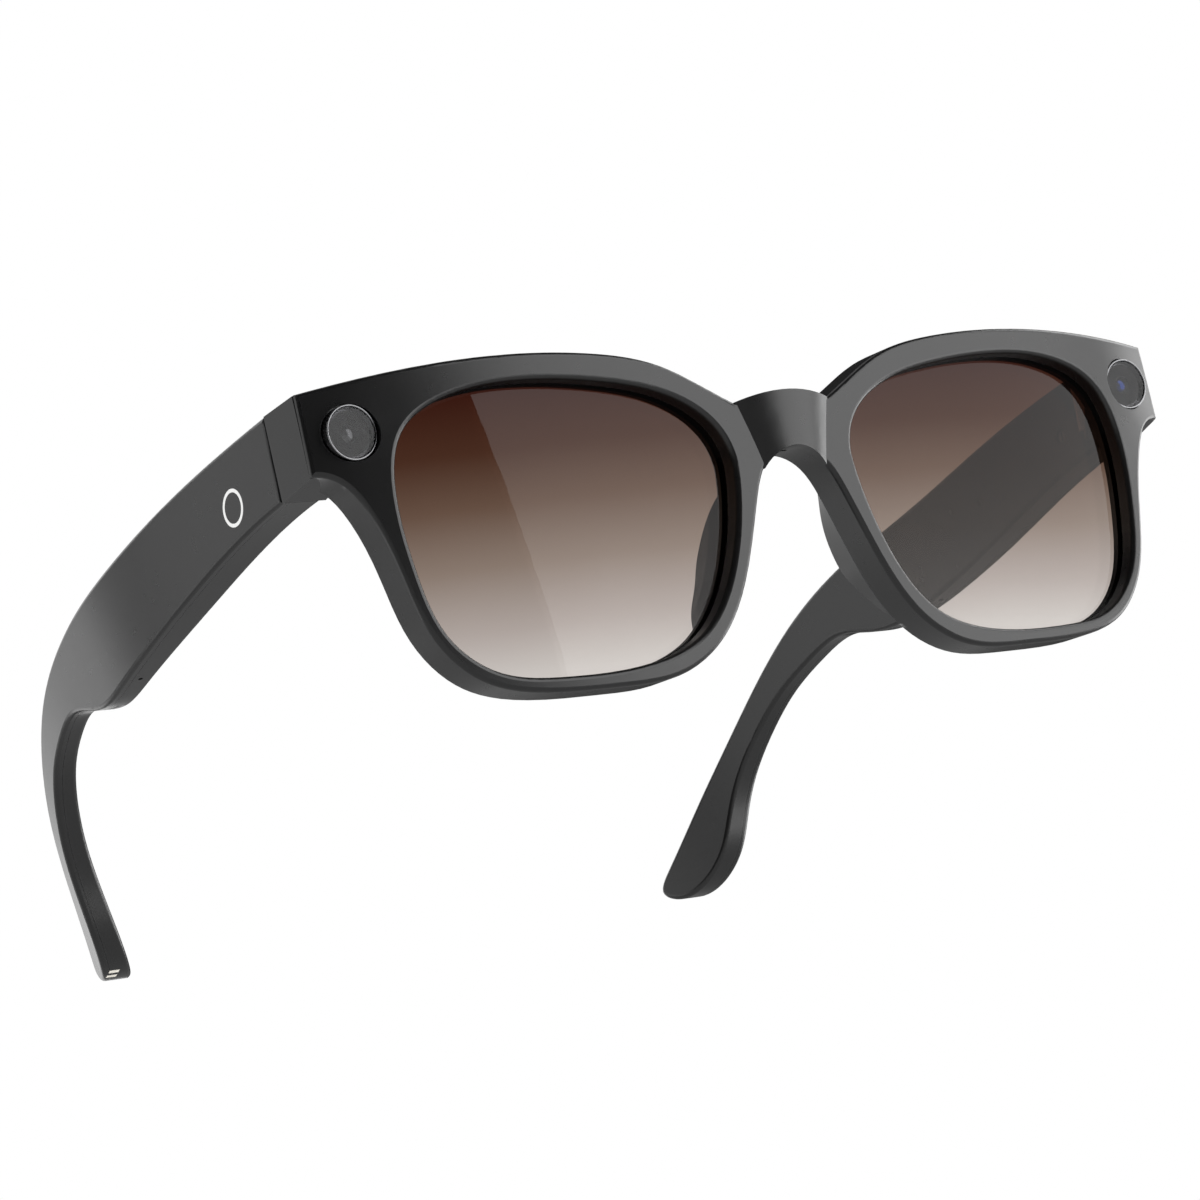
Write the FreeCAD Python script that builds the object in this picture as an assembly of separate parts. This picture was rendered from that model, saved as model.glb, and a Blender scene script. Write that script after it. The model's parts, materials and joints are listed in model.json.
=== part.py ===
import FreeCAD, Part
import math
import os
from FreeCAD import Vector

# Smart glasses: a hollow front with two camera end pieces, tinted lenses and
# nose pads, and two folding temples that hold the electronics.
#
# Everything is first drawn in the frame of the front: X to the wearer's left,
# Y towards the ears, Z up, with the origin on the front face at the top of the
# bridge.  At the end every piece is turned about X and lifted, so that the
# glasses stand on the rim bottoms and the ear tips with Z = 0 on the table.
# The wearer's left side is drawn at +X and mirrored for the right side.

# ---- driving dimensions, millimetres -------------------------------------

HALF_WIDTH = 73.0            # bridge centre to the end piece's front corner
WRAP_SQUARE = 0.85           # how far the front face sweeps back at HALF_WIDTH
WRAP_QUARTIC = 5.35
DISH = 0.0016                # base curve of the face, top to bottom, per mm
DISH_MID_Z = -20.0
FRONT_THICKNESS = 5.6        # front face to back face of the rims
FRONT_EDGE_RADIUS = 0.65

LENS_CENTRE = (36.3, -15.1)
LENS_SET_BACK = 2.6          # front face to the lens
LENS_THICKNESS = 2.0
LENS_SEAT_DEPTH = 0.8        # how far the lens enters the rim's groove
SEAT_GAP = 0.05

BRIDGE_TOP_HALF = 8.0        # half width of the raised bridge, top and bottom
BRIDGE_LOW_HALF = 5.4
BRIDGE_LOW_Z = -9.4
BRIDGE_EDGE_ANGLE = 24.0     # slope of the bridge's curve where it meets the rims
BRIDGE_COVER = 0.8           # thickness of the cover behind the bridge

CAMERA_X = 66.86
CAMERA_Y = 4.87
CAMERA_Z = 0.08
BEZEL_RADIUS = 3.78
BEZEL_WALL = 0.28
WELL_RADIUS = 3.95
WINDOW_Y = 5.0               # face of the window, just inside the bezel's edge
WINDOW_THICKNESS = 1.05

END_SIDE_X = 74.0            # outer side of the end piece at the seam
SEAM_TOP = (14.5, 5.1)       # (y, z) of the seam between end piece and temple
SEAM_LOW = (13.7, -6.9)
SEAM_GAP = 0.15

HINGE_X = 65.5
HINGE_Y = 14.1
HINGE_MID_Z = -0.4
BARREL_RADIUS = 1.65
PIN_RADIUS = 0.6
PIN_CLEARANCE = 0.05
KNUCKLE_HEIGHT = 1.7
KNUCKLE_GAP = 0.05

OUTER_SHELL = 1.3            # thickness of the temple's outer shell
SHELL_GAP = 0.05
WALL = 1.1

# Outline of one half of the front, seen from the front: (x, z).
BROW = [(8.0, 0.0), (12.0, 2.3), (18.5, 5.8), (29.0, 8.2), (43.0, 8.9), (57.0, 8.15), (73.0, 6.1)]
RIM = [
    (73.0, -5.2), (70.2, -5.9), (66.4, -11.0), (64.0, -18.3), (61.2, -27.7), (55.5, -34.3),
    (46.0, -37.1), (35.0, -37.5), (24.5, -36.6), (17.0, -32.2), (11.2, -23.3), (7.3, -13.5),
    (4.3, -8.5), (0.0, -6.8),
]
BRIDGE_TOP_Z = 1.1

# Lens opening of the left rim, (x, z), going round from the nose side.
LENS_OUTLINE = [
    (10.3, -9.0), (13.3, -21.5), (20.5, -31.5), (31.0, -34.95), (43.0, -35.25), (53.0, -33.4),
    (58.9, -28.0), (61.5, -19.5), (62.3, -9.3), (59.7, -0.4), (51.6, 4.0), (40.5, 5.15),
    (28.0, 4.05), (16.5, 0.6), (11.2, -4.6),
]

# Sections of the temple lean back by this much per millimetre of height, as its
# ear bend does. Each is given by the y where it crosses z = 0, the x of the outer
# face and the thickness along x.
LEAN = 0.577
TEMPLE_PLAN = [
    (8.0, 74.0, 6.5), (31.0, 74.4, 6.0), (53.0, 75.1, 5.7), (74.0, 74.5, 4.8), (90.0, 72.8, 4.2),
    (106.0, 70.7, 3.8), (120.0, 68.1, 3.8), (133.0, 64.6, 4.2), (146.0, 59.7, 4.8), (159.0, 54.6, 5.0),
]
# Temple seen from the side, (y, z): along the top, round the ear tip, and back
# along the lower edge, past the step where the thick part ends.
TEMPLE_TOP = [
    (38.6, 1.2), (65.8, -5.2), (83.9, -10.2), (98.4, -17.5), (109.8, -28.9), (117.8, -41.4), (123.5, -52.1),
]
EAR_TIP = [(124.6, -55.8), (122.3, -57.2), (117.9, -56.7)]
EAR_LOW = [
    (113.4, -51.6), (111.9, -45.1), (110.4, -39.7), (106.4, -33.0), (101.1, -27.6), (93.8, -23.4),
    (86.5, -21.1),
]
TEMPLE_LOW = [(79.6, -22.0), (73.5, -22.4), (67.0, -21.2), (44.4, -14.7)]

OUTLINE_SPANS = 8            # the outline is one smooth curve, cut into this many edges

# Nose pad, from its upper end to its lower end along Z.
PAD_TOP_Z = -11.5
PAD_LOW_Z = -31.0
PAD_REACH = 4.7              # how far the pad stands behind the rim

# Ribbon cable inside the brow, (x, z), from the bridge to the end piece.
BROW_RIBBON = [
    (0.0, -2.9), (7.0, -1.9), (12.5, 0.2), (20.0, 4.6), (30.0, 6.75), (41.0, 7.35),
    (52.0, 6.9), (60.0, 5.2), (64.6, 2.9),
]
# Metal core of the ear piece, (y, z).
EAR_CORE = [(82.0, -15.3), (91.0, -17.9), (99.9, -22.9), (108.1, -31.0), (114.0, -40.4), (118.2, -50.5)]

CONTACT_X = 56.1
CONTACT_LENGTH = 1.7
CONTACT_WIDTH = 0.6
CONTACT_PITCH = 1.15

BUTTON_Y = 25.0
BUTTON_LENGTH = 9.2
BUTTON_WIDTH = 2.6
BUTTON_PROUD = 0.6
BUTTON_X = 70.9

parts = {}


# ---- small helpers ---------------------------------------------------------

def vectors(points, plane, offset=0.0):
    """2-D points on a plane: 'xz' at y=offset, 'yz' at x=offset, 'xy' at z=offset."""
    place = {
        "xz": lambda a, b: Vector(a, offset, b),
        "yz": lambda a, b: Vector(offset, a, b),
        "xy": lambda a, b: Vector(a, b, offset),
    }[plane]
    return [place(a, b) for a, b in points]


def spline(points, closed=False):
    curve = Part.BSplineCurve()
    curve.interpolate(points, PeriodicFlag=closed)
    return curve.toShape()


def prism(edges, direction):
    return Part.Face(Part.Wire(edges)).extrude(direction)


def polygon(points, direction):
    return Part.Face(Part.makePolygon(points + points[:1])).extrude(direction)


def box(x0, x1, y0, y1, z0, z1):
    return Part.makeBox(x1 - x0, y1 - y0, z1 - z0, Vector(x0, y0, z0))


def rod(radius, start, end):
    axis = end - start
    return Part.makeCylinder(radius, axis.Length, start, axis)


def mirrored(shape):
    return shape.mirror(Vector(0, 0, 0), Vector(1, 0, 0))


def fuse(shapes):
    return shapes[0].fuse(shapes[1:]).removeSplitter() if len(shapes) > 1 else shapes[0]


def biggest(shape):
    return max(shape.Solids, key=lambda solid: solid.Volume)


# ---- the front -------------------------------------------------------------

def face_depth(x, z):
    """Y of the front face: a wrap that tightens towards the ends, and a shallow dish."""
    share = x / HALF_WIDTH
    return WRAP_SQUARE * share**2 + WRAP_QUARTIC * share**4 + DISH * (z - DISH_MID_Z) ** 2


def front_layer(depth_from, depth_to):
    """The solid between two depths behind the front face."""
    grid = [
        [Vector(x, face_depth(x, z) + depth_from, z) for z in range(-48, 17, 8)]
        for x in range(-80, 81, 8)
    ]
    surface = Part.BSplineSurface()
    surface.interpolate(grid)
    return surface.toShape().extrude(Vector(0, depth_to - depth_from, 0))


def mirror_points(points):
    return [(-x, z) for x, z in points]


def outline_prism():
    """The front's outline as one long prism along Y."""
    y = -10.0
    brow_left = spline(vectors(BROW, "xz", y))
    brow_right = spline(vectors(mirror_points(BROW)[::-1], "xz", y))
    bridge = Part.Arc(*vectors([(-BROW[0][0], BROW[0][1]), (0, BRIDGE_TOP_Z), BROW[0]], "xz", y)).toShape()
    rims = spline(vectors(RIM + mirror_points(RIM[:-1])[::-1], "xz", y))
    ends = [
        Part.makeLine(*vectors([(s * HALF_WIDTH, BROW[-1][1]), (s * HALF_WIDTH, RIM[0][1])], "xz", y))
        for s in (1, -1)
    ]
    wire = Part.Wire(Part.__sortEdges__([brow_right, bridge, brow_left, ends[0], rims, ends[1]]))
    return Part.Face(wire).extrude(Vector(0, 40, 0))


def lens_prism(grow):
    """The lens opening, made wider all round by grow, as a prism along Y."""
    cx, cz = LENS_CENTRE
    points = []
    for x, z in LENS_OUTLINE:
        reach = math.hypot(x - cx, z - cz)
        points.append((cx + (x - cx) * (reach + grow) / reach, cz + (z - cz) * (reach + grow) / reach))
    return prism([spline(vectors(points, "xz", -10), closed=True)], Vector(0, 40, 0))


def band(points, half, plane, offset, direction):
    """A strip of constant width that follows a smooth line, extruded along direction."""
    upper, lower = [], []
    for i, (a, b) in enumerate(points):
        a0, b0 = points[max(i - 1, 0)]
        a1, b1 = points[min(i + 1, len(points) - 1)]
        length = math.hypot(a1 - a0, b1 - b0)
        na, nb = -(b1 - b0) / length * half, (a1 - a0) / length * half
        upper.append((a + na, b + nb))
        lower.append((a - na, b - nb))
    up = vectors(upper, plane, offset)
    low = vectors(lower, plane, offset)
    edges = [spline(up), Part.makeLine(up[-1], low[-1]), spline(low[::-1]), Part.makeLine(low[0], up[0])]
    return prism(edges, direction)


def bridge_swell():
    """The raised, cylinder-like front of the bridge, which narrows downwards."""
    wires = []
    slope = (BRIDGE_TOP_HALF - BRIDGE_LOW_HALF) / -BRIDGE_LOW_Z
    for z in (3.0, -12.0):
        half = BRIDGE_TOP_HALF + slope * z
        y = face_depth(half, z)
        rise = half * math.tan(math.radians(BRIDGE_EDGE_ANGLE / 2))
        ends = [Vector(-half, y, z), Vector(half, y, z)]
        back = [Vector(-half, y + 3, z), Vector(half, y + 3, z)]
        arc = Part.Arc(ends[0], Vector(0, y - rise, z), ends[1]).toShape()
        wires.append(Part.Wire([
            arc,
            Part.makeLine(ends[1], back[1]),
            Part.makeLine(back[1], back[0]),
            Part.makeLine(back[0], ends[0]),
        ]))
    return Part.makeLoft(wires, True, True)


def end_block():
    """The deep block behind the front's left corner, up to the temple seam."""
    plan = [(62.5, 2), (HALF_WIDTH, 2), (HALF_WIDTH, 7.2), (END_SIDE_X, 14.4), (END_SIDE_X + 0.2, 16),
            (67.3, 16), (67.3, 12.3), (62.5, 12.3), (60.8, 9.0)]
    block = polygon(vectors(plan, "xy", -10), Vector(0, 0, 20))
    slope = (SEAM_LOW[1] - RIM[0][1]) / (SEAM_LOW[0] - 7.0)
    lean = (SEAM_TOP[0] - SEAM_LOW[0]) / (SEAM_TOP[1] - SEAM_LOW[1])
    side = [
        (2, RIM[0][1] - 5.0 * slope), SEAM_LOW,
        (SEAM_TOP[0] + 5 * lean, SEAM_TOP[1] + 5), (2, SEAM_TOP[1] + 5),
    ]
    block = block.common(polygon(vectors(side, "yz", 50), Vector(40, 0, 0)))
    return block.common(front_layer(FRONT_EDGE_RADIUS + 0.05, 30))


def top_trim():
    """What is cut off above the end piece, so that its top runs on into the temple's top edge."""
    along = (BROW[-2][1] - BROW[-1][1]) / (BROW[-1][0] - BROW[-2][0])
    back = (BROW[-1][1] - SEAM_TOP[1]) / (SEAM_TOP[0] - 7.6)
    corners = [
        Vector(x, y, BROW[-1][1] + along * (HALF_WIDTH - x) - back * (y - 7.6))
        for x, y in ((56, 0), (80, 0), (80, 20), (56, 20))
    ]
    return polygon(corners, Vector(0, 0, 20))


def camera_rod(radius, y0, y1):
    return rod(radius, Vector(CAMERA_X, y0, CAMERA_Z), Vector(CAMERA_X, y1, CAMERA_Z))


def on_front_face(edge):
    return all(abs(p.y - face_depth(p.x, p.z)) < 0.02 for p in edge.discretize(7))


LEAF_POCKET = (63.5, 71.2, 10.85, 16.0, -5.0, 4.3)
LEAF_SCREWS = [(69.9, -3.75), (69.9, 3.35)]
COVER_INNER_X = 67.35
COVER_FRONT_Y = 12.75


def front_frame():
    outline = outline_prism()
    opening = lens_prism(0)
    frame = front_layer(0, FRONT_THICKNESS).common(outline).cut([opening, mirrored(opening)])
    frame = frame.makeFillet(FRONT_EDGE_RADIUS, [edge for edge in frame.Edges if on_front_face(edge)])
    above_brow = box(60, HALF_WIDTH, 0, 20, 0, 15).cut(outline)
    block = end_block().cut([opening, above_brow])
    trim = top_trim()
    frame = frame.fuse([block, mirrored(block), bridge_swell().common(outline)])
    frame = biggest(frame.cut([trim, mirrored(trim)]).removeSplitter())
    seat = front_layer(LENS_SET_BACK - SEAT_GAP, LENS_SET_BACK + LENS_THICKNESS + SEAT_GAP)
    seat = seat.common(lens_prism(LENS_SEAT_DEPTH + SEAT_GAP))
    well = camera_rod(WELL_RADIUS, -5, 6.6).fuse(camera_rod(3.15, 6, 11.5))
    cuts = [seat, well, box(*LEAF_POCKET)]
    for x, z in LEAF_SCREWS:
        cuts.append(rod(0.55, Vector(x, 8.4, z), Vector(x, 11, z)))
    ribbon = brow_ribbon(0.75, 4.35, 4.75)
    return frame.cut(cuts + [mirrored(cut) for cut in cuts] + [ribbon, bridge_pocket(0), mic_slot()])


def brow_ribbon(half, depth_from, depth_to):
    points = mirror_points(BROW_RIBBON[1:])[::-1] + BROW_RIBBON
    return band(points, half, "xz", -10, Vector(0, 40, 0)).common(front_layer(depth_from, depth_to))


def bridge_pocket(inset):
    return box(-3.4 + inset, 3.4 - inset, 2.2 + inset, 12, -5.2 + inset, -0.9 - inset)


def mic_slot():
    return box(-0.7, 0.7, 2.4, 3.0, -8, -4.5)


# ---- pieces carried by the front -------------------------------------------

def lens():
    glass = front_layer(LENS_SET_BACK, LENS_SET_BACK + LENS_THICKNESS)
    return glass.common(lens_prism(LENS_SEAT_DEPTH))


def rim_nose_x(z):
    """X of the rim's nose side at a height, between the outline's points."""
    for (x0, z0), (x1, z1) in zip(RIM, RIM[1:]):
        if z0 <= z <= z1 and x0 < 30:
            return x0 + (x1 - x0) * (z - z0) / (z1 - z0)
    return 0.0


def nose_pad():
    """A crescent that stands behind the rim and leans away from the nose."""
    wires = []
    for step in range(9):
        share = step / 8
        z = PAD_TOP_Z + (PAD_LOW_Z - PAD_TOP_Z) * share
        rim_x = rim_nose_x(z)
        reach = 5.9 + PAD_REACH * math.sin(math.pi * max(0.02, min(0.98, share))) ** 0.6
        rear_x = rim_x + 2.6 - 1.2 * share
        section = [(rim_x + 0.2, 4.0), (rear_x - 0.9, reach), (rear_x + 0.9, reach - 0.3), (rim_x + 2.6, 4.0)]
        corners = vectors(section, "xy", z)
        front = Part.makeLine(corners[3], corners[0])
        nose_side = Part.makeLine(corners[0], corners[1])
        tip = Part.makeLine(corners[1], corners[2])
        far_side = Part.makeLine(corners[2], corners[3])
        wires.append(Part.Wire([front, nose_side, tip, far_side]))
    pad = Part.makeLoft(wires, True, False)
    return biggest(pad.cut(front_layer(-2, FRONT_THICKNESS + 0.02)))


def camera_bezel():
    ring = camera_rod(BEZEL_RADIUS, CAMERA_Y, 6.55).cut(camera_rod(BEZEL_RADIUS - BEZEL_WALL, 0, 6.1))
    ring = ring.cut(camera_rod(3.1, 0, 8))
    rim = [edge for edge in ring.Edges if edge.BoundBox.YMax < CAMERA_Y + 0.01]
    return ring.makeFillet(0.1, rim)


def camera_window():
    disc = camera_rod(BEZEL_RADIUS - BEZEL_WALL - 0.02, WINDOW_Y, WINDOW_Y + WINDOW_THICKNESS)
    return disc.makeChamfer(0.08, [edge for edge in disc.Edges if edge.BoundBox.YMax < WINDOW_Y + 0.01])


def camera_module():
    housing = camera_rod(3.0, 6.7, 10.7)
    barrel = camera_rod(2.1, 6.2, 6.7)
    return housing.fuse(barrel).cut(camera_rod(1.3, 6, 7.4))


def knuckle_z(index):
    return HINGE_MID_Z + (index - 2.5) * KNUCKLE_HEIGHT + (index - 2) * KNUCKLE_GAP


def knuckle(index):
    low = knuckle_z(index)
    axis = [Vector(HINGE_X, HINGE_Y, low), Vector(HINGE_X, HINGE_Y, low + KNUCKLE_HEIGHT)]
    return rod(BARREL_RADIUS, *axis)


def pin_hole():
    reach = 8
    return rod(PIN_RADIUS + PIN_CLEARANCE, Vector(HINGE_X, HINGE_Y, -reach), Vector(HINGE_X, HINGE_Y, reach))


def hinge_front_leaf():
    x0, x1, y0, _, z0, z1 = LEAF_POCKET
    plate = box(x0 + 0.05, x1 - 0.05, y0 + 0.02, y0 + 1.25, z0 + 0.05, z1 - 0.05)
    pieces = [plate]
    for index in (0, 2, 4):
        low = knuckle_z(index)
        web = box(HINGE_X - 1.4, HINGE_X + 1.4, y0 + 1.0, HINGE_Y, low, low + KNUCKLE_HEIGHT)
        pieces += [knuckle(index), web]
    holes = [rod(0.6, Vector(x, 8, z), Vector(x, 14, z)) for x, z in LEAF_SCREWS]
    return fuse(pieces).cut(holes + [pin_hole()])


def leaf_screws():
    screws = []
    for x, z in LEAF_SCREWS:
        shank = rod(0.5, Vector(x, 8.6, z), Vector(x, 12.12, z))
        head = rod(0.95, Vector(x, 12.12, z), Vector(x, 12.62, z))
        slot = box(x - 1, x + 1, 12.4, 13, z - 0.14, z + 0.14)
        screws.append(shank.fuse(head).removeSplitter().cut(slot))
    return screws


def endpiece_cover():
    """Closes the end piece at the seam, outboard of the hinge."""
    _, x1, _, _, z0, z1 = LEAF_POCKET
    gap = 0.06
    plate = box(COVER_INNER_X, x1 - gap, COVER_FRONT_Y, 16, z0 + gap, z1 - gap)
    return plate.common(end_side_prism(-0.1))


def end_side_prism(grow):
    """Everything in front of the seam plane, moved back by grow."""
    lean = (SEAM_TOP[0] - SEAM_LOW[0]) / (SEAM_TOP[1] - SEAM_LOW[1])
    low = (SEAM_LOW[0] + grow - 5 * lean, SEAM_LOW[1] - 5)
    high = (SEAM_TOP[0] + grow + 5 * lean, SEAM_TOP[1] + 5)
    return polygon(vectors([(-5, low[1]), low, high, (-5, high[1])], "yz", 50), Vector(40, 0, 0))


def hinge_pin():
    low, high = knuckle_z(0) - 0.1, knuckle_z(4) + KNUCKLE_HEIGHT + 0.1
    pin = rod(PIN_RADIUS, Vector(HINGE_X, HINGE_Y, low), Vector(HINGE_X, HINGE_Y, high))
    return pin.makeChamfer(0.15, [edge for edge in pin.Edges if len(edge.Vertexes) == 1])


def bridge_microphone():
    can = box(-1.5, 1.5, 2.3, 3.3, -4.9, -1.9)
    board = box(-2.6, 2.6, 3.3, 3.6, -5.0, -1.1)
    return can.fuse(board).removeSplitter()


def bridge_cover():
    return bridge_pocket(0.05).common(front_layer(FRONT_THICKNESS - BRIDGE_COVER, FRONT_THICKNESS))


# ---- the temple ------------------------------------------------------------

def plan_line(gap, side):
    """The temple's outer or inner side seen from above, moved into the temple by gap."""
    points = []
    for y, outer, thickness in TEMPLE_PLAN:
        points.append((outer - gap if side == "outer" else outer - thickness + gap, y))
    return points


def temple_layer(line_a, line_b):
    """The tall solid between two plan lines, swept along the lean."""
    reach = 80
    foot = Vector(0, -LEAN * reach, 0)
    a = [point + foot for point in vectors(line_a, "xy", -reach)]
    b = [point + foot for point in vectors(line_b, "xy", -reach)]
    edges = [spline(a), Part.makeLine(a[-1], b[-1]), spline(b[::-1]), Part.makeLine(b[0], a[0])]
    return prism(edges, Vector(0, LEAN * 110, 110))


def temple_outline():
    """The temple seen from the side, as a prism along X."""
    start_top = (SEAM_TOP[0] + SEAM_GAP, SEAM_TOP[1])
    start_low = (SEAM_LOW[0] + SEAM_GAP, SEAM_LOW[1])
    points = [start_top] + TEMPLE_TOP + EAR_TIP + EAR_LOW + TEMPLE_LOW + [start_low]
    around = spline(vectors(points, "yz", 40)).Curve
    first, last = around.FirstParameter, around.LastParameter
    cuts = [first + (last - first) * step / OUTLINE_SPANS for step in range(OUTLINE_SPANS + 1)]
    edges = [around.toShape(a, b) for a, b in zip(cuts, cuts[1:])]
    edges.append(Part.makeLine(*vectors([start_low, start_top], "yz", 40)))
    return prism(edges, Vector(45, 0, 0))


def temple_body():
    return temple_layer(plan_line(0, "outer"), plan_line(0, "inner")).common(temple_outline())


def mid_z(y):
    """Height of the middle of the temple's thick part."""
    return -0.9 - 0.225 * (y - 14)


def slanted_block(y0, y1, height, lift=0.0):
    """A long block that follows the temple's slope, as a prism along X."""
    corners = []
    for y, sign in ((y0, -1), (y1, -1), (y1, 1), (y0, 1)):
        corners.append((y, mid_z(y) + lift + sign * height / 2))
    return polygon(vectors(corners, "yz", 40), Vector(45, 0, 0))


def fitted_block(y0, y1, height, outer_gap, inner_gap, lift=0.0):
    """A slanted block between two gaps from the temple's outer and inner sides."""
    layer = temple_layer(plan_line(outer_gap, "outer"), plan_line(inner_gap, "inner"))
    return layer.common(slanted_block(y0, y1, height, lift))


def cavity():
    """The room for the electronics, open towards the outer shell."""
    top = vectors([(15.9, 3.7), (38.6, 0.2), (66.0, -5.6), (79.0, -9.4)], "yz", 40)
    low = vectors([(79.0, -19.6), (72.0, -21.4), (15.9, -6.3)], "yz", 40)
    edges = [spline(top), Part.makeLine(top[-1], low[0]), Part.makeLine(low[0], low[1]),
             Part.makeLine(low[1], low[2]), Part.makeLine(low[2], top[0])]
    outline = prism(edges, Vector(45, 0, 0))
    return temple_layer(plan_line(0.5, "outer"), plan_line(WALL, "inner")).common(outline)


def ear_core(half, outer_gap, depth):
    strip = band(EAR_CORE, half, "yz", 40, Vector(45, 0, 0))
    return strip.common(temple_layer(plan_line(outer_gap, "outer"), plan_line(outer_gap + depth, "outer")))


TEMPLE_SCREWS = [(18.6, -1.2), (23.8, -3.6)]
TEMPLE_LEAF = (69.5, 70.45)  # x of the hinge leaf's two faces inside the temple
BOSS_X = 70.5
SCREW_HEAD = (68.4, 68.7)    # x of the screw heads, sunk in the inner face
SCREW_END_X = 72.7
SPLIT = OUTER_SHELL + SHELL_GAP


def long_edges(shape, x_line):
    """The long edges of a shape that lie on one side of the temple."""
    found = []
    for edge in shape.Edges:
        points = edge.discretize(5)
        if edge.Length > 7 and all(abs(p.x - x_at(p.y - LEAN * p.z, x_line)) < 0.05 for p in points):
            found.append(edge)
    return found


def x_at(y, line):
    """X on one of the temple's plan lines, at a given Y."""
    curve = spline(vectors(line, "xy", 0)).Curve
    cut = curve.intersect(Part.Line(Vector(0, y, 0), Vector(1, y, 0)))
    return cut[0].X if cut else 0.0


def outer_shell(body):
    shell = body.common(temple_layer(plan_line(-2, "outer"), plan_line(OUTER_SHELL, "outer")))
    shell = shell.makeFillet(0.6, long_edges(shell, plan_line(0, "outer")))
    bosses = [
        rod(1.3, Vector(BOSS_X, y, z), Vector(73.3, y, z)).cut(rod(0.45, Vector(69, y, z), Vector(73.0, y, z)))
        for y, z in TEMPLE_SCREWS
    ]
    return fuse([shell] + bosses)


def inner_shell(body):
    shell = body.common(temple_layer(plan_line(SPLIT, "outer"), plan_line(-2, "inner")))
    shell = shell.makeFillet(0.7, long_edges(shell, plan_line(0, "inner")))
    knuckle_room = box(66, 72.4, 13, 17, knuckle_z(0) - 0.1, knuckle_z(4) + KNUCKLE_HEIGHT + 0.1)
    cuts = [cavity(), knuckle_room, ear_core(1.05, 0.5, 2.05)]
    for y, z in TEMPLE_SCREWS:
        cuts.append(rod(0.55, Vector(60, y, z), Vector(72, y, z)))
        cuts.append(rod(1.0, Vector(60, y, z), Vector(SCREW_HEAD[1] + 0.05, y, z)))
    cuts.append(mic_hole())
    cuts.append(grille_block(0.04))
    return biggest(shell.cut(cuts))


def hinge_temple_leaf():
    x0, x1 = TEMPLE_LEAF
    plate = box(x0, x1, 14.6, 17.4, knuckle_z(1), knuckle_z(3) + KNUCKLE_HEIGHT)
    tail = slanted_block(16.5, 26.0, 4.4).common(box(x0, x1, 10, 40, -20, 20))
    pieces = [plate, tail]
    for index in (1, 3):
        low = knuckle_z(index)
        web = box(HINGE_X, x1, HINGE_Y + 0.2, HINGE_Y + 1.6, low, low + KNUCKLE_HEIGHT)
        pieces += [knuckle(index), web]
    holes = [rod(0.55, Vector(60, y, z), Vector(75, y, z)) for y, z in TEMPLE_SCREWS]
    return fuse(pieces).cut(holes + [pin_hole()])


def temple_screws():
    screws = []
    for y, z in TEMPLE_SCREWS:
        head_x, neck_x = SCREW_HEAD
        shank = rod(0.4, Vector(neck_x, y, z), Vector(SCREW_END_X, y, z))
        head = rod(0.9, Vector(head_x, y, z), Vector(neck_x, y, z))
        slot = box(60, head_x + 0.15, y - 0.14, y + 0.14, z - 1, z + 1)
        screws.append(shank.fuse(head).removeSplitter().cut(slot))
    return screws


def battery():
    return fitted_block(28.5, 56.0, 9.0, SPLIT + 0.1, WALL + 0.1, -0.6)


def circuit_board():
    return fitted_block(56.8, 68.0, 9.5, SPLIT + 1.2, WALL + 0.6, -0.4)


def speaker():
    return fitted_block(69.0, 77.5, 7.2, SPLIT + 0.15, WALL + 0.1, 0.6)


def grille_block(grow):
    """Flush insert in the lower wall, under the speaker."""
    y0, y1 = 73.6 - grow, 77.6 + grow
    low_z = TEMPLE_LOW[1][1]
    column = box(69.75 - grow, 71.25 + grow, y0, y1, low_z - 2, low_z + 1.6 + grow)
    return column.common(temple_outline())


def speaker_grille():
    plate = grille_block(0)
    slots = [box(70.05, 70.95, y, y + 0.35, -30, -10) for y in (74.2, 75.0, 75.8, 76.6)]
    return plate.cut(slots)


def mic_hole():
    y = 64.0
    return rod(0.35, Vector(71.9, y, -25), Vector(71.9, y, -18))


def temple_microphone():
    return box(70.95, 72.85, 62.6, 65.2, -18.7, -17.8)


def temple_ribbon():
    layer = temple_layer(plan_line(SPLIT + 0.15, "outer"), plan_line(SPLIT + 0.45, "outer"))
    return layer.common(slanted_block(31.0, 68.5, 1.4, 4.9))


def charge_contacts(body):
    """Two bright bars side by side, flush with the lower end of the ear tip."""
    first, last = EAR_LOW[0], EAR_TIP[2]
    slope = math.degrees(math.atan2(last[1] - first[1], last[0] - first[0]))
    middle = Vector(CONTACT_X, *last)
    bars = []
    for side in (-1, 1):
        y = side * CONTACT_PITCH / 2
        half_long, half_wide = CONTACT_LENGTH / 2, CONTACT_WIDTH / 2
        bar = box(-half_long, half_long, y - half_wide, y + half_wide, -1.5, 0.8)
        bar.translate(middle)
        bar.rotate(middle, Vector(1, 0, 0), slope)
        bars.append(bar.common(body))
    return bars


# ---- capture button --------------------------------------------------------

def top_slope():
    """Angle of the temple's top edge at the button."""
    (y0, z0), (y1, z1) = (SEAM_TOP[0], SEAM_TOP[1]), TEMPLE_TOP[0]
    return math.degrees(math.atan2(z1 - z0, y1 - y0))


def button_top_z():
    (y0, z0), (y1, z1) = (SEAM_TOP[0], SEAM_TOP[1]), TEMPLE_TOP[0]
    return z0 + (z1 - z0) * (BUTTON_Y - y0) / (y1 - y0) + 0.16


def tilted(shape):
    place = Vector(BUTTON_X, BUTTON_Y, button_top_z())
    shape.rotate(place, Vector(1, 0, 0), top_slope())
    return shape


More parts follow.
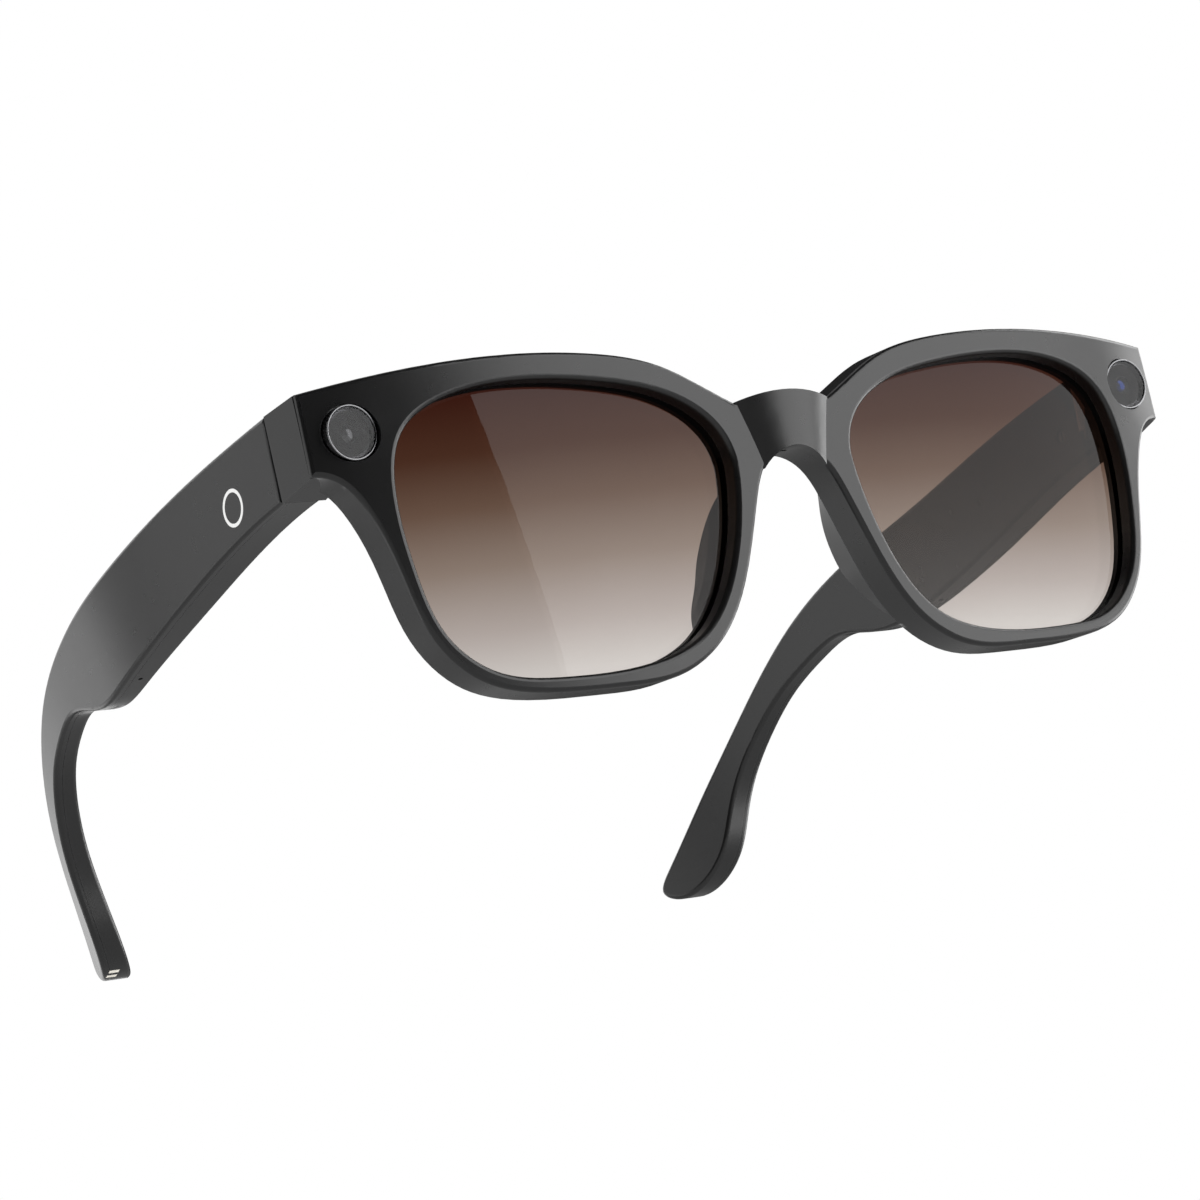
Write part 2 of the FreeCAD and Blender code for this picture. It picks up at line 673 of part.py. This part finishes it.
def button_block(length, width, low, high):
    z = button_top_z()
    block = box(
        BUTTON_X - width / 2, BUTTON_X + width / 2,
        BUTTON_Y - length / 2, BUTTON_Y + length / 2,
        z + low, z + high,
    )
    upright = [edge for edge in block.Edges if edge.BoundBox.ZLength > (high - low) / 2]
    return block.makeFillet(width / 2 - 0.02, upright)


def capture_button():
    cap = button_block(BUTTON_LENGTH, BUTTON_WIDTH, -2.0, BUTTON_PROUD)
    cap = cap.makeFillet(0.22, [edge for edge in cap.Edges if edge.BoundBox.ZMin > button_top_z() + 0.4])
    flange = button_block(BUTTON_LENGTH + 1.2, BUTTON_WIDTH + 0.7, -2.1, -1.55)
    return tilted(cap.fuse(flange).removeSplitter())


def button_well():
    well = button_block(BUTTON_LENGTH + 0.16, BUTTON_WIDTH + 0.16, -3, 4)
    room = button_block(BUTTON_LENGTH + 1.4, BUTTON_WIDTH + 0.9, -2.9, -1.5)
    return tilted(well.fuse(room))


def button_switch():
    z = button_top_z()
    can = box(BUTTON_X - 1.3, BUTTON_X + 1.3, BUTTON_Y - 1.8, BUTTON_Y + 1.8, z - 3.9, z - 3.0)
    plunger = rod(0.7, Vector(BUTTON_X, BUTTON_Y, z - 3.0), Vector(BUTTON_X, BUTTON_Y, z - 2.6))
    return tilted(can.fuse(plunger).removeSplitter())


def touch_mark(body, depth, grow):
    """A plain ring let into the outer shell, in place of any lettering."""
    start, end = Vector(60, 26.0, -4.6), Vector(90, 26.0, -4.6)
    ring = rod(2.6 + grow, start, end).cut(rod(2.1 - grow, start, end))
    return ring.common(body).common(temple_layer(plan_line(-1, "outer"), plan_line(depth, "outer")))


# ---- assembly --------------------------------------------------------------

def add(name, shape):
    parts[name] = shape if isinstance(shape, Part.Shape) else Part.makeCompound(shape)


def add_pair(name, shape):
    """One piece for each side; the right side mirrors the left."""
    add(name + "_left", shape)
    add(name + "_right", mirrored(parts[name + "_left"]))


add("front_frame", front_frame())
add("brow_ribbon", brow_ribbon(0.7, 4.4, 4.7))
add("bridge_microphone", bridge_microphone())
add("bridge_cover", bridge_cover())
add_pair("lens", lens())
add_pair("nose_pad", nose_pad())
add_pair("camera_bezel", camera_bezel())
add_pair("camera_window", camera_window())
add_pair("camera_module", camera_module())
add_pair("hinge_front_leaf", hinge_front_leaf())
add_pair("hinge_pin", hinge_pin())
add_pair("leaf_screws", leaf_screws())
add_pair("endpiece_cover", endpiece_cover())

body = temple_body()
plain_outer = outer_shell(body)
plain_inner = inner_shell(body)
well = button_well()
ring_seat = touch_mark(body, 0.35, 0.02)
contacts = charge_contacts(body)

add("temple_outer_shell_left", plain_outer)
add("temple_outer_shell_right", mirrored(plain_outer.cut([ring_seat] + contacts)))
add("touch_mark_right", mirrored(touch_mark(body, 0.33, 0.0)))
add("temple_inner_shell_left", plain_inner)
add("temple_inner_shell_right", mirrored(plain_inner.cut([well] + contacts)))
add_pair("hinge_temple_leaf", hinge_temple_leaf())
add_pair("temple_screws", temple_screws())
add_pair("battery", battery())
add_pair("circuit_board", circuit_board())
add_pair("speaker", speaker())
add_pair("speaker_grille", speaker_grille())
add_pair("temple_microphone", temple_microphone())
add_pair("temple_ribbon", temple_ribbon())
add_pair("ear_core", ear_core(1.0, SPLIT + 0.05, 1.15))
add("capture_button_right", mirrored(capture_button()))
add("button_switch_right", mirrored(button_switch()))
add("charge_contacts_right", mirrored(Part.makeCompound(contacts)))


# ---- standing pose ---------------------------------------------------------

def lowest(shape, tilt):
    turned = shape.copy()
    turned.rotate(Vector(0, 0, 0), Vector(1, 0, 0), tilt)
    return turned.optimalBoundingBox().ZMin


def standing_tilt(front, temple):
    """The turn about X that brings the rim bottoms and the ear tips to one level."""
    low, high = 5.0, 17.0
    for _ in range(14):
        middle = (low + high) / 2
        if lowest(temple, middle) < lowest(front, middle):
            low = middle
        else:
            high = middle
    return middle


plain_front = front_layer(0, FRONT_THICKNESS).common(outline_prism())
tilt = standing_tilt(plain_front, body)
reach = [parts["front_frame"].copy(), body.copy()]
for shape in reach:
    shape.rotate(Vector(0, 0, 0), Vector(1, 0, 0), tilt)
bounds = [shape.optimalBoundingBox() for shape in reach]
lift = Vector(0, -(bounds[0].YMin + bounds[1].YMax) / 2, -min(bound.ZMin for bound in bounds))

os.makedirs("parts", exist_ok=True)
for name, shape in parts.items():
    shape.rotate(Vector(0, 0, 0), Vector(1, 0, 0), tilt)
    shape.translate(lift)
    shape.exportStep(os.path.join("parts", name + ".step"))
    print(name, len(shape.Solids), "solids", round(shape.Volume, 1), "mm3")
print("tilt", round(tilt, 3), "lift", [round(value, 3) for value in lift])
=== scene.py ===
import json
import math

import bmesh
import bpy
from mathutils import Matrix, Quaternion, Vector


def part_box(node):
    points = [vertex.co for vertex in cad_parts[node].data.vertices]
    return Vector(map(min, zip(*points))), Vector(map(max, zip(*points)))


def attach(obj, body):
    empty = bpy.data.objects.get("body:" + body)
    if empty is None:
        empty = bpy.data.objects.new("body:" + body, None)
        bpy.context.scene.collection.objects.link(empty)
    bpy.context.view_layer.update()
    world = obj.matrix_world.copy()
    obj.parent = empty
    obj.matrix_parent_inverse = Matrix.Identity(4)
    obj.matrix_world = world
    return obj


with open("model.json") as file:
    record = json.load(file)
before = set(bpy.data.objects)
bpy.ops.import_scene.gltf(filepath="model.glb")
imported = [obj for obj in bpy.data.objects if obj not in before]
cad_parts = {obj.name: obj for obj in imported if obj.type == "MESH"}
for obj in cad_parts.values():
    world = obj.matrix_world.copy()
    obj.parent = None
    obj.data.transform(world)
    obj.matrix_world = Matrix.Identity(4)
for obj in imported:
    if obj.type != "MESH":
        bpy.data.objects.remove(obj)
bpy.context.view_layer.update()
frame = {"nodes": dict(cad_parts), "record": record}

# Smart glasses on a white studio set: procedural materials for every CAD node,
# finer optics behind the camera windows, soft lights and one camera.
# Metres throughout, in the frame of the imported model.

# ---- camera, lights and floor: driving values ------------------------------

LOOK_AT = Vector((0.00375, -0.00512, 0.03054))
CAMERA_AZIMUTH = -35.689
CAMERA_ELEVATION = -15.468
CAMERA_ROLL = -16.109
CAMERA_DISTANCE = 0.63497
LENS_MM = 127.5
SENSOR_MM = 36.0
FLOOR_Z = -0.34

# Soft boxes: name, azimuth from the front, height, distance, (width, height), brightness, roll.
CARDS = [
    ("front_right_card", 40.5, 0.10, 0.93, (0.68, 1.4), 1.6, 13.0),
    ("right_card", 84.0, 0.10, 0.85, (0.50, 1.4), 3.2, 0.0),
    ("back_left_card", 179.0, 0.25, 0.85, (0.80, 0.9), 1.2, 0.0),
    ("left_card", 241.0, 0.20, 0.95, (0.95, 0.9), 0.65, 0.0),
    ("top_card", 150.0, 0.95, 0.30, (0.5, 0.5), 0.5, 0.0),
]
MIRRORED_STUDIO = 0.02       # brightness of the studio and the floor in reflections
MIRRORED_FLOOR = 0.35

MM = 0.001

# Black nylon: its two base tones, the depth of its grain and the width of an edge that is worn and
# lighter in colour as a painted highlight.
BLACK_DARK = (0.0030, 0.0030, 0.0032)
BLACK_LIGHT = (0.0048, 0.0048, 0.0051)
MOULD_GRAIN = 0.000003
WORN_HIGHLIT_EDGE = 0.35 * MM

# Camera optics as (radius, depth behind the window's face) in millimetres.
BAFFLE = [
    (3.0, 1.09), (2.5, 1.09), (2.5, 1.12), (2.0, 1.12),
    (2.0, 1.15), (1.28, 1.15), (1.28, 1.18), (3.0, 1.18),
]
CAMERA_GLASS = [
    (0, 1.26), (0.30, 1.28), (0.60, 1.35), (0.90, 1.48),
    (1.15, 1.68), (1.22, 1.80), (1.22, 2.20), (0, 2.20),
]
TURN_STEPS = 72


# ---- node graphs -----------------------------------------------------------

class Graph:
    """A material's node tree, with short calls for the nodes used here."""

    def __init__(self, name):
        self.material = bpy.data.materials.new(name)
        self.material.use_nodes = True
        self.tree = self.material.node_tree
        self.shader = self.tree.nodes["Principled BSDF"]
        self.output = self.tree.nodes["Material Output"]

    def node(self, kind, **values):
        made = self.tree.nodes.new(kind)
        for key, value in values.items():
            setattr(made, key, value)
        return made

    def link(self, source, target):
        self.tree.links.new(source, target)

    def set(self, **values):
        """Plain values on the shader's own sockets."""
        for key, value in values.items():
            self.shader.inputs[key.replace("_", " ")].default_value = value

    def place(self, scale=(1, 1, 1), turn=(0, 0, 0)):
        """Object coordinates in metres, scaled and turned."""
        source = self.node("ShaderNodeTexCoord").outputs["Object"]
        mapping = self.node("ShaderNodeMapping")
        mapping.inputs["Scale"].default_value = scale
        mapping.inputs["Rotation"].default_value = turn
        self.link(source, mapping.inputs["Vector"])
        return mapping.outputs["Vector"]

    def noise(self, scale, detail=3.0, rough=0.55, place=None):
        noise = self.node("ShaderNodeTexNoise")
        noise.inputs["Scale"].default_value = scale
        noise.inputs["Detail"].default_value = detail
        noise.inputs["Roughness"].default_value = rough
        self.link(place or self.place(), noise.inputs["Vector"])
        return noise.outputs["Fac"]

    def ramp(self, source, stops):
        """A colour ramp with straight runs between stops of (position, colour)."""
        ramp = self.node("ShaderNodeValToRGB")
        ramp.color_ramp.interpolation = "LINEAR"
        elements = ramp.color_ramp.elements
        while len(elements) < len(stops):
            elements.new(0.5)
        for element, (position, colour) in zip(elements, stops):
            element.position = position
            element.color = (*colour, 1.0)
        self.link(source, ramp.inputs["Fac"])
        return ramp.outputs["Color"]

    def spread(self, source, low, high, start=0.0, end=1.0):
        """source between start and end, spread over low to high."""
        spread = self.node("ShaderNodeMapRange")
        for key, value in (("From Min", start), ("From Max", end), ("To Min", low), ("To Max", high)):
            spread.inputs[key].default_value = value
        self.link(source, spread.inputs["Value"])
        return spread.outputs["Result"]

    def math(self, kind, a, b=None):
        made = self.node("ShaderNodeMath", operation=kind)
        for socket, value in zip(made.inputs, (a, b)):
            if isinstance(value, (int, float)):
                socket.default_value = value
            elif value is not None:
                self.link(value, socket)
        return made.outputs["Value"]

    def blend(self, share, low, high):
        """Two colours mixed by share."""
        mix = self.node("ShaderNodeMix", data_type="RGBA")
        self.link(share, mix.inputs["Factor"])
        for socket, value in ((mix.inputs["A"], low), (mix.inputs["B"], high)):
            if isinstance(value, tuple):
                socket.default_value = (*value, 1.0)
            else:
                self.link(value, socket)
        return mix.outputs["Result"]

    def axis(self, name, place=None):
        split = self.node("ShaderNodeSeparateXYZ")
        self.link(place or self.place(), split.inputs["Vector"])
        return split.outputs[name]

    def bump(self, height, distance, strength=1.0):
        bump = self.node("ShaderNodeBump")
        bump.inputs["Distance"].default_value = distance
        bump.inputs["Strength"].default_value = strength
        self.link(height, bump.inputs["Height"])
        self.link(bump.outputs["Normal"], self.shader.inputs["Normal"])

    def edge_mask(self, radius):
        """1 along outer edges, which are worn and lighter in colour as a painted highlight; 0 on open
        faces.
        """
        bevel = self.node("ShaderNodeBevel", samples=4)
        bevel.inputs["Radius"].default_value = radius
        normal = self.node("ShaderNodeNewGeometry").outputs["Normal"]
        dot = self.node("ShaderNodeVectorMath", operation="DOT_PRODUCT")
        self.link(bevel.outputs["Normal"], dot.inputs[0])
        self.link(normal, dot.inputs[1])
        return self.spread(dot.outputs["Value"], 1.0, 0.0, 0.86, 0.995)


# ---- materials -------------------------------------------------------------

def moulded_plastic(name, rough, wear_and_highlight):
    """Satin black nylon: fine moulded grain, faint mottling, polished worn edges whose colour is
    lifted as a painted highlight.
    """
    g = Graph(name)
    mottle = g.noise(90, 4)
    body = g.blend(mottle, BLACK_DARK, BLACK_LIGHT)
    edge = g.edge_mask(WORN_HIGHLIT_EDGE)
    smear = g.noise(420, 5, 0.65)
    worn_and_highlit = g.math("MULTIPLY", edge, g.spread(smear, 0.2, 1.0, 0.35, 0.6))
    # Outer edges get a lighter colour: partly wear, partly a painted highlight along the edges.
    worn_highlight_tone = tuple(c * 6 for c in BLACK_LIGHT)
    g.link(g.blend(g.math("MULTIPLY", worn_and_highlit, wear_and_highlight), body, worn_highlight_tone), g.shader.inputs["Base Color"])
    satin = g.spread(smear, rough - 0.008, rough + 0.008, 0.3, 0.7)
    polished = g.math("SUBTRACT", satin, g.math("MULTIPLY", worn_and_highlit, 0.10))
    g.link(polished, g.shader.inputs["Roughness"])
    g.set(IOR=1.5, Specular_IOR_Level=1.0)
    g.bump(g.noise(9000, 2, 0.6), MOULD_GRAIN)
    return g.material


def black_moulding():
    """Plain dull black of modules, microphones and switches."""
    g = Graph("component_black")
    bloom = g.noise(160, 3)
    g.link(g.blend(bloom, (0.010, 0.010, 0.011), (0.020, 0.020, 0.021)), g.shader.inputs["Base Color"])
    g.link(g.spread(g.noise(700, 4), 0.42, 0.55), g.shader.inputs["Roughness"])
    g.bump(g.noise(6000, 2), 0.00001)
    return g.material


def brushed_metal(name, dark, light, rough, stretch=(1, 1, 40), scale=400, metallic=1.0):
    """Metal between two tones; stretch draws its noise out into brush lines."""
    g = Graph(name)
    lines = g.noise(scale, 4, 0.7, g.place(scale=stretch))
    g.link(g.blend(lines, dark, light), g.shader.inputs["Base Color"])
    g.link(g.spread(lines, rough - 0.07, rough + 0.08, 0.3, 0.7), g.shader.inputs["Roughness"])
    g.set(Metallic=metallic)
    g.bump(lines, 0.000006)
    return g.material


def tinted_lens():
    """Brown tint that fades downwards, polished on both faces, with a faint waviness."""
    g = Graph("tinted_lens")
    low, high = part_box("lens_left")
    height = g.spread(g.axis("Z"), 0, 1, low.z, high.z)
    wander = g.spread(g.noise(25, 2), -0.015, 0.015, 0.3, 0.7)
    tint = g.ramp(g.math("ADD", height, wander), [
        (0.05, (0.62, 0.58, 0.55)),
        (0.20, (0.44, 0.385, 0.355)),
        (0.40, (0.26, 0.20, 0.165)),
        (0.60, (0.135, 0.082, 0.058)),
        (0.78, (0.065, 0.026, 0.015)),
        (1.00, (0.035, 0.007, 0.004)),
    ])
    g.link(tint, g.shader.inputs["Base Color"])
    g.set(Transmission_Weight=1.0, IOR=1.36)
    g.link(g.spread(g.noise(300, 3), 0.0, 0.03, 0.4, 0.8), g.shader.inputs["Roughness"])
    return g.material


def smoked_window():
    """Grey see-through cover of a camera, polished, with a hint of haze."""
    g = Graph("smoked_window")
    haze = g.noise(500, 3)
    g.link(g.blend(haze, (0.36, 0.36, 0.37), (0.42, 0.42, 0.43)), g.shader.inputs["Base Color"])
    g.link(g.spread(haze, 0.02, 0.07), g.shader.inputs["Roughness"])
    g.set(IOR=1.45, Transmission_Weight=1.0)
    return g.material


def flocking():
    """Light-trap lining round a camera lens."""
    g = Graph("flocking")
    fibre = g.noise(4000, 2)
    tone = g.blend(fibre, (0.0015, 0.0015, 0.0015), (0.004, 0.004, 0.004))
    g.link(tone, g.shader.inputs["Base Color"])
    g.link(g.spread(fibre, 0.85, 1.0), g.shader.inputs["Roughness"])
    g.set(Specular_IOR_Level=0.05)
    return g.material


def coated_glass(name, tone, sheen):
    """Dark camera glass whose coating colours its reflections."""
    g = Graph(name)
    bloom = g.noise(1800, 3)
    g.link(g.blend(bloom, tuple(c * 0.7 for c in tone), tone), g.shader.inputs["Base Color"])
    g.link(g.spread(bloom, 0.04, 0.10), g.shader.inputs["Roughness"])
    g.set(Metallic=1.0, Coat_Weight=1.0, Coat_Roughness=0.03, Coat_Tint=(*sheen, 1.0))
    return g.material


def foil_pouch():
    g = Graph("foil_pouch")
    crease = g.noise(350, 5, 0.6)
    g.link(g.blend(crease, (0.50, 0.50, 0.52), (0.70, 0.70, 0.72)), g.shader.inputs["Base Color"])
    g.link(g.spread(crease, 0.25, 0.45), g.shader.inputs["Roughness"])
    g.set(Metallic=1.0)
    g.bump(crease, 0.00008)
    return g.material


def board_laminate():
    """Green solder mask over etched tracks, with bare pads."""
    g = Graph("board_laminate")
    grid = g.node("ShaderNodeTexBrick")
    g.link(g.place(scale=(1, 1, 1), turn=(0, math.pi / 2, 0)), grid.inputs["Vector"])
    for key, value in (("Scale", 700.0), ("Mortar Size", 0.08), ("Mortar Smooth", 0.1)):
        grid.inputs[key].default_value = value
    grid.inputs["Color1"].default_value = (0.010, 0.085, 0.040, 1)
    grid.inputs["Color2"].default_value = (0.014, 0.110, 0.052, 1)
    grid.inputs["Mortar"].default_value = (0.004, 0.050, 0.024, 1)
    g.link(grid.outputs["Color"], g.shader.inputs["Base Color"])
    g.link(g.spread(g.noise(900, 3), 0.25, 0.4), g.shader.inputs["Roughness"])
    g.bump(grid.outputs["Fac"], 0.00003)
    return g.material


def ribbon_film():
    """Amber film over parallel copper tracks."""
    g = Graph("ribbon_film")
    wave = g.node("ShaderNodeTexWave", bands_direction="Z")
    wave.inputs["Scale"].default_value = 900.0
    g.link(g.place(), wave.inputs["Vector"])
    tone = g.blend(wave.outputs["Fac"], (0.30, 0.13, 0.03), (0.55, 0.28, 0.08))
    g.link(tone, g.shader.inputs["Base Color"])
    g.link(g.spread(g.noise(600, 3), 0.2, 0.35), g.shader.inputs["Roughness"])
    g.set(Metallic=0.3)
    g.bump(wave.outputs["Fac"], 0.00002)
    return g.material


def grille_mesh():
    g = Graph("grille_mesh")
    cells = g.node("ShaderNodeTexVoronoi", feature="F1")
    cells.inputs["Scale"].default_value = 3800.0
    cells.inputs["Randomness"].default_value = 0.0
    g.link(g.place(), cells.inputs["Vector"])
    hole = g.spread(cells.outputs["Distance"], 0, 1, 0.2, 0.35)
    g.link(g.blend(hole, (0.002, 0.002, 0.002), (0.05, 0.05, 0.052)), g.shader.inputs["Base Color"])
    g.link(g.spread(hole, 0.8, 0.3), g.shader.inputs["Roughness"])
    g.bump(hole, 0.00004)
    return g.material


def printed_mark():
    g = Graph("printed_mark")
    speck = g.noise(2500, 3)
    g.link(g.blend(speck, (0.74, 0.74, 0.73), (0.86, 0.86, 0.85)), g.shader.inputs["Base Color"])
    g.link(g.spread(speck, 0.35, 0.5), g.shader.inputs["Roughness"])
    return g.material


BLASTED = (1, 1, 1)          # no brush lines

MATERIALS = {
    "frame_plastic": moulded_plastic("frame_plastic", 0.28, 0.5),
    "tinted_lens": tinted_lens(),
    "pad_rubber": moulded_plastic("pad_rubber", 0.38, 0.3),
    "bezel_metal": brushed_metal(
        "bezel_metal", (0.26, 0.26, 0.27), (0.42, 0.42, 0.43), 0.24, BLASTED, 2500),
    "window_glass": smoked_window(),
    "component_black": black_moulding(),
    "hinge_steel": brushed_metal(
        "hinge_steel", (0.40, 0.40, 0.41), (0.58, 0.58, 0.59), 0.32),
    "screw_steel": brushed_metal(
        "screw_steel", (0.16, 0.16, 0.17), (0.28, 0.28, 0.29), 0.30, BLASTED, 1500),
    "cell_foil": foil_pouch(),
    "board_laminate": board_laminate(),
    "ribbon_film": ribbon_film(),
    "grille_mesh": grille_mesh(),
    "mark_print": printed_mark(),
    "contact_gold": brushed_metal(
        "contact_gold", (0.80, 0.76, 0.66), (0.95, 0.92, 0.84), 0.35, BLASTED, 2500, 0.3),
}


def dress_nodes():
    """Every CAD node takes the material of its slot."""
    for entry in frame["record"]["subparts"]:
        node = frame["nodes"][entry["node"]]
        node.data.materials.clear()
        node.data.materials.append(MATERIALS[entry["material_slot"]])


# ---- stage -----------------------------------------------------------------

def aim(location, target):
    """The rotation that looks from location to target with level sides."""
    return (target - location).to_track_quat("-Z", "Y")


def make_camera():
    azimuth, elevation = math.radians(CAMERA_AZIMUTH), math.radians(CAMERA_ELEVATION)
    back = Vector((
        math.sin(azimuth) * math.cos(elevation),
        -math.cos(azimuth) * math.cos(elevation),
        math.sin(elevation),
    ))
    data = bpy.data.cameras.new("camera")
    data.lens = LENS_MM
    data.sensor_width = SENSOR_MM
    data.clip_start, data.clip_end = 0.01, 20
    camera = bpy.data.objects.new("camera", data)
    bpy.context.scene.collection.objects.link(camera)
    location = LOOK_AT + back * CAMERA_DISTANCE
    turn = aim(location, LOOK_AT).to_matrix().to_4x4()
    roll = Matrix.Rotation(math.radians(CAMERA_ROLL), 4, "Z")
    camera.matrix_world = Matrix.Translation(location) @ turn @ roll
    bpy.context.scene.camera = camera


def soft_light(name, location, size, power, roll):
    data = bpy.data.lights.new(name, "AREA")
    data.shape = "RECTANGLE"
    data.size, data.size_y = size
    data.energy = power
    lamp = bpy.data.objects.new(name, data)
    bpy.context.scene.collection.objects.link(lamp)
    lamp.location = location
    lamp.rotation_mode = "QUATERNION"
    lamp.rotation_quaternion = aim(location, LOOK_AT) @ Quaternion((0, 0, 1), math.radians(roll))


def reflected_only(nodes, links):
    """1 on rays mirrored by a surface, also behind glass; 0 on matt light and straight views."""
    rays = nodes.new("ShaderNodeLightPath")
    apart = nodes.new("ShaderNodeMath")
    apart.operation = "MULTIPLY_ADD"
    apart.use_clamp = True
    apart.inputs[1].default_value = -8.0     # more than any count of mirrored bounces
    links.new(rays.outputs["Is Diffuse Ray"], apart.inputs[0])
    links.new(rays.outputs["Glossy Depth"], apart.inputs[2])
    return apart.outputs["Value"]


def make_world():
    """White behind the object and through its glass, even white fill on matt
    surfaces, and a dark studio in reflections, where the soft boxes draw the shapes."""
    world = bpy.data.worlds.new("studio")
    world.use_nodes = True
    world.cycles.sampling_method = "NONE"
    tree = world.node_tree
    nodes, links = tree.nodes, tree.links
    reflected = reflected_only(nodes, links)
    mirrored = nodes.new("ShaderNodeBackground")
    mirrored.inputs["Color"].default_value = (0.97, 0.98, 1.0, 1.0)
    mirrored.inputs["Strength"].default_value = MIRRORED_STUDIO
    white = nodes["Background"]
    white.inputs["Color"].default_value = (1, 1, 1, 1)
    white.inputs["Strength"].default_value = 1.0
    mix = nodes.new("ShaderNodeMixShader")
    links.new(reflected, mix.inputs["Fac"])
    links.new(white.outputs["Background"], mix.inputs[1])
    links.new(mirrored.outputs["Background"], mix.inputs[2])
    links.new(mix.outputs["Shader"], nodes["World Output"].inputs["Surface"])
    bpy.context.scene.world = world


def make_floor():
    mesh = bpy.data.meshes.new("floor")
    shape = bmesh.new()
    level = Matrix.Translation((0, 0, FLOOR_Z))
    bmesh.ops.create_grid(shape, x_segments=2, y_segments=2, size=3.0, matrix=level)
    shape.to_mesh(mesh)
    shape.free()
    floor = bpy.data.objects.new("floor", mesh)
    bpy.context.scene.collection.objects.link(floor)
    g = Graph("pale_floor")
    cloud = g.noise(4, 3)
    g.link(g.blend(cloud, (0.80, 0.80, 0.80), (0.84, 0.84, 0.84)), g.shader.inputs["Base Color"])
    g.set(Roughness=0.9, Specular_IOR_Level=0.1)
    flag = g.node("ShaderNodeEmission")
    flag.inputs["Color"].default_value = (1, 1, 1, 1)
    flag.inputs["Strength"].default_value = MIRRORED_FLOOR
    mix = g.node("ShaderNodeMixShader")
    g.link(reflected_only(g.tree.nodes, g.tree.links), mix.inputs["Fac"])
    g.link(g.shader.outputs["BSDF"], mix.inputs[1])
    g.link(flag.outputs["Emission"], mix.inputs[2])
    g.link(mix.outputs["Shader"], g.output.inputs["Surface"])
    mesh.materials.append(g.material)


def card(name, azimuth, height, distance, size, brightness, roll):
    """A soft box at an azimuth from the front, towards +X, that looks at the glasses.

    brightness is its radiance, so that a change of size keeps its look."""
    turn = math.radians(azimuth)
    place = Vector((distance * math.sin(turn), -distance * math.cos(turn), height))
    soft_light(name, place, size, brightness * math.pi * size[0] * size[1], roll)


def make_lights():
    for name, *values in CARDS:
        card(name, *values)


# ---- camera optics behind the windows --------------------------------------

def lathe(name, profile, mount, material):
    """A closed profile turned about a window's axis, fixed to the front.

    A profile that starts away from the axis closes on itself and makes a ring."""
    centre, outward = Vector(mount["pos_m"]), Vector(mount["axis"]).normalized()
    side = outward.cross(Vector((1, 0, 0))).normalized()
    other = outward.cross(side)
    shape = bmesh.new()
    rings = []
    for radius, depth in profile:
        middle = centre - outward * depth * MM
        if radius == 0:
            rings.append([shape.verts.new(middle)] * TURN_STEPS)
            continue
        ring = []
        for step in range(TURN_STEPS):
            angle = 2 * math.pi * step / TURN_STEPS
            outwards = side * math.cos(angle) + other * math.sin(angle)
            ring.append(shape.verts.new(middle + outwards * radius * MM))
        rings.append(ring)
    following = rings[1:]
    if profile[0][0] > 0:
        following.append(rings[0])
    for inner, outer in zip(rings, following):
        for step in range(TURN_STEPS):
            after = (step + 1) % TURN_STEPS
            corners = dict.fromkeys((inner[step], inner[after], outer[after], outer[step]))
            if len(corners) > 2:
                shape.faces.new(list(corners))
    bmesh.ops.recalc_face_normals(shape, faces=shape.faces)
    mesh = bpy.data.meshes.new(name)
    shape.to_mesh(mesh)
    shape.free()
    mesh.materials.append(material)
    mesh.shade_smooth()
    piece = bpy.data.objects.new(name, mesh)
    bpy.context.scene.collection.objects.link(piece)
    piece.modifiers.new("edges", "EDGE_SPLIT").split_angle = math.radians(35)
    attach(piece, "front")


def camera_optics(side, lining, tone, sheen):
    """Stepped baffle and domed, coated front glass of one camera."""
    face = "camera_window_face_" + side
    mount = next(m for m in frame["record"]["mounts"] if m["name"] == face)
    glass = coated_glass("coated_glass_" + side, tone, sheen)
    lathe("camera_baffle_" + side, BAFFLE, mount, lining)
    lathe("camera_glass_" + side, CAMERA_GLASS, mount, glass)


# ---- build -----------------------------------------------------------------

bpy.context.scene.view_settings.view_transform = "Standard"
make_camera()
make_world()
make_lights()
make_floor()
dress_nodes()
lining = flocking()
camera_optics("left", lining, (0.12, 0.30, 0.95), (0.55, 0.65, 1.0))
camera_optics("right", lining, (0.65, 0.65, 0.65), (1.0, 1.0, 1.0))
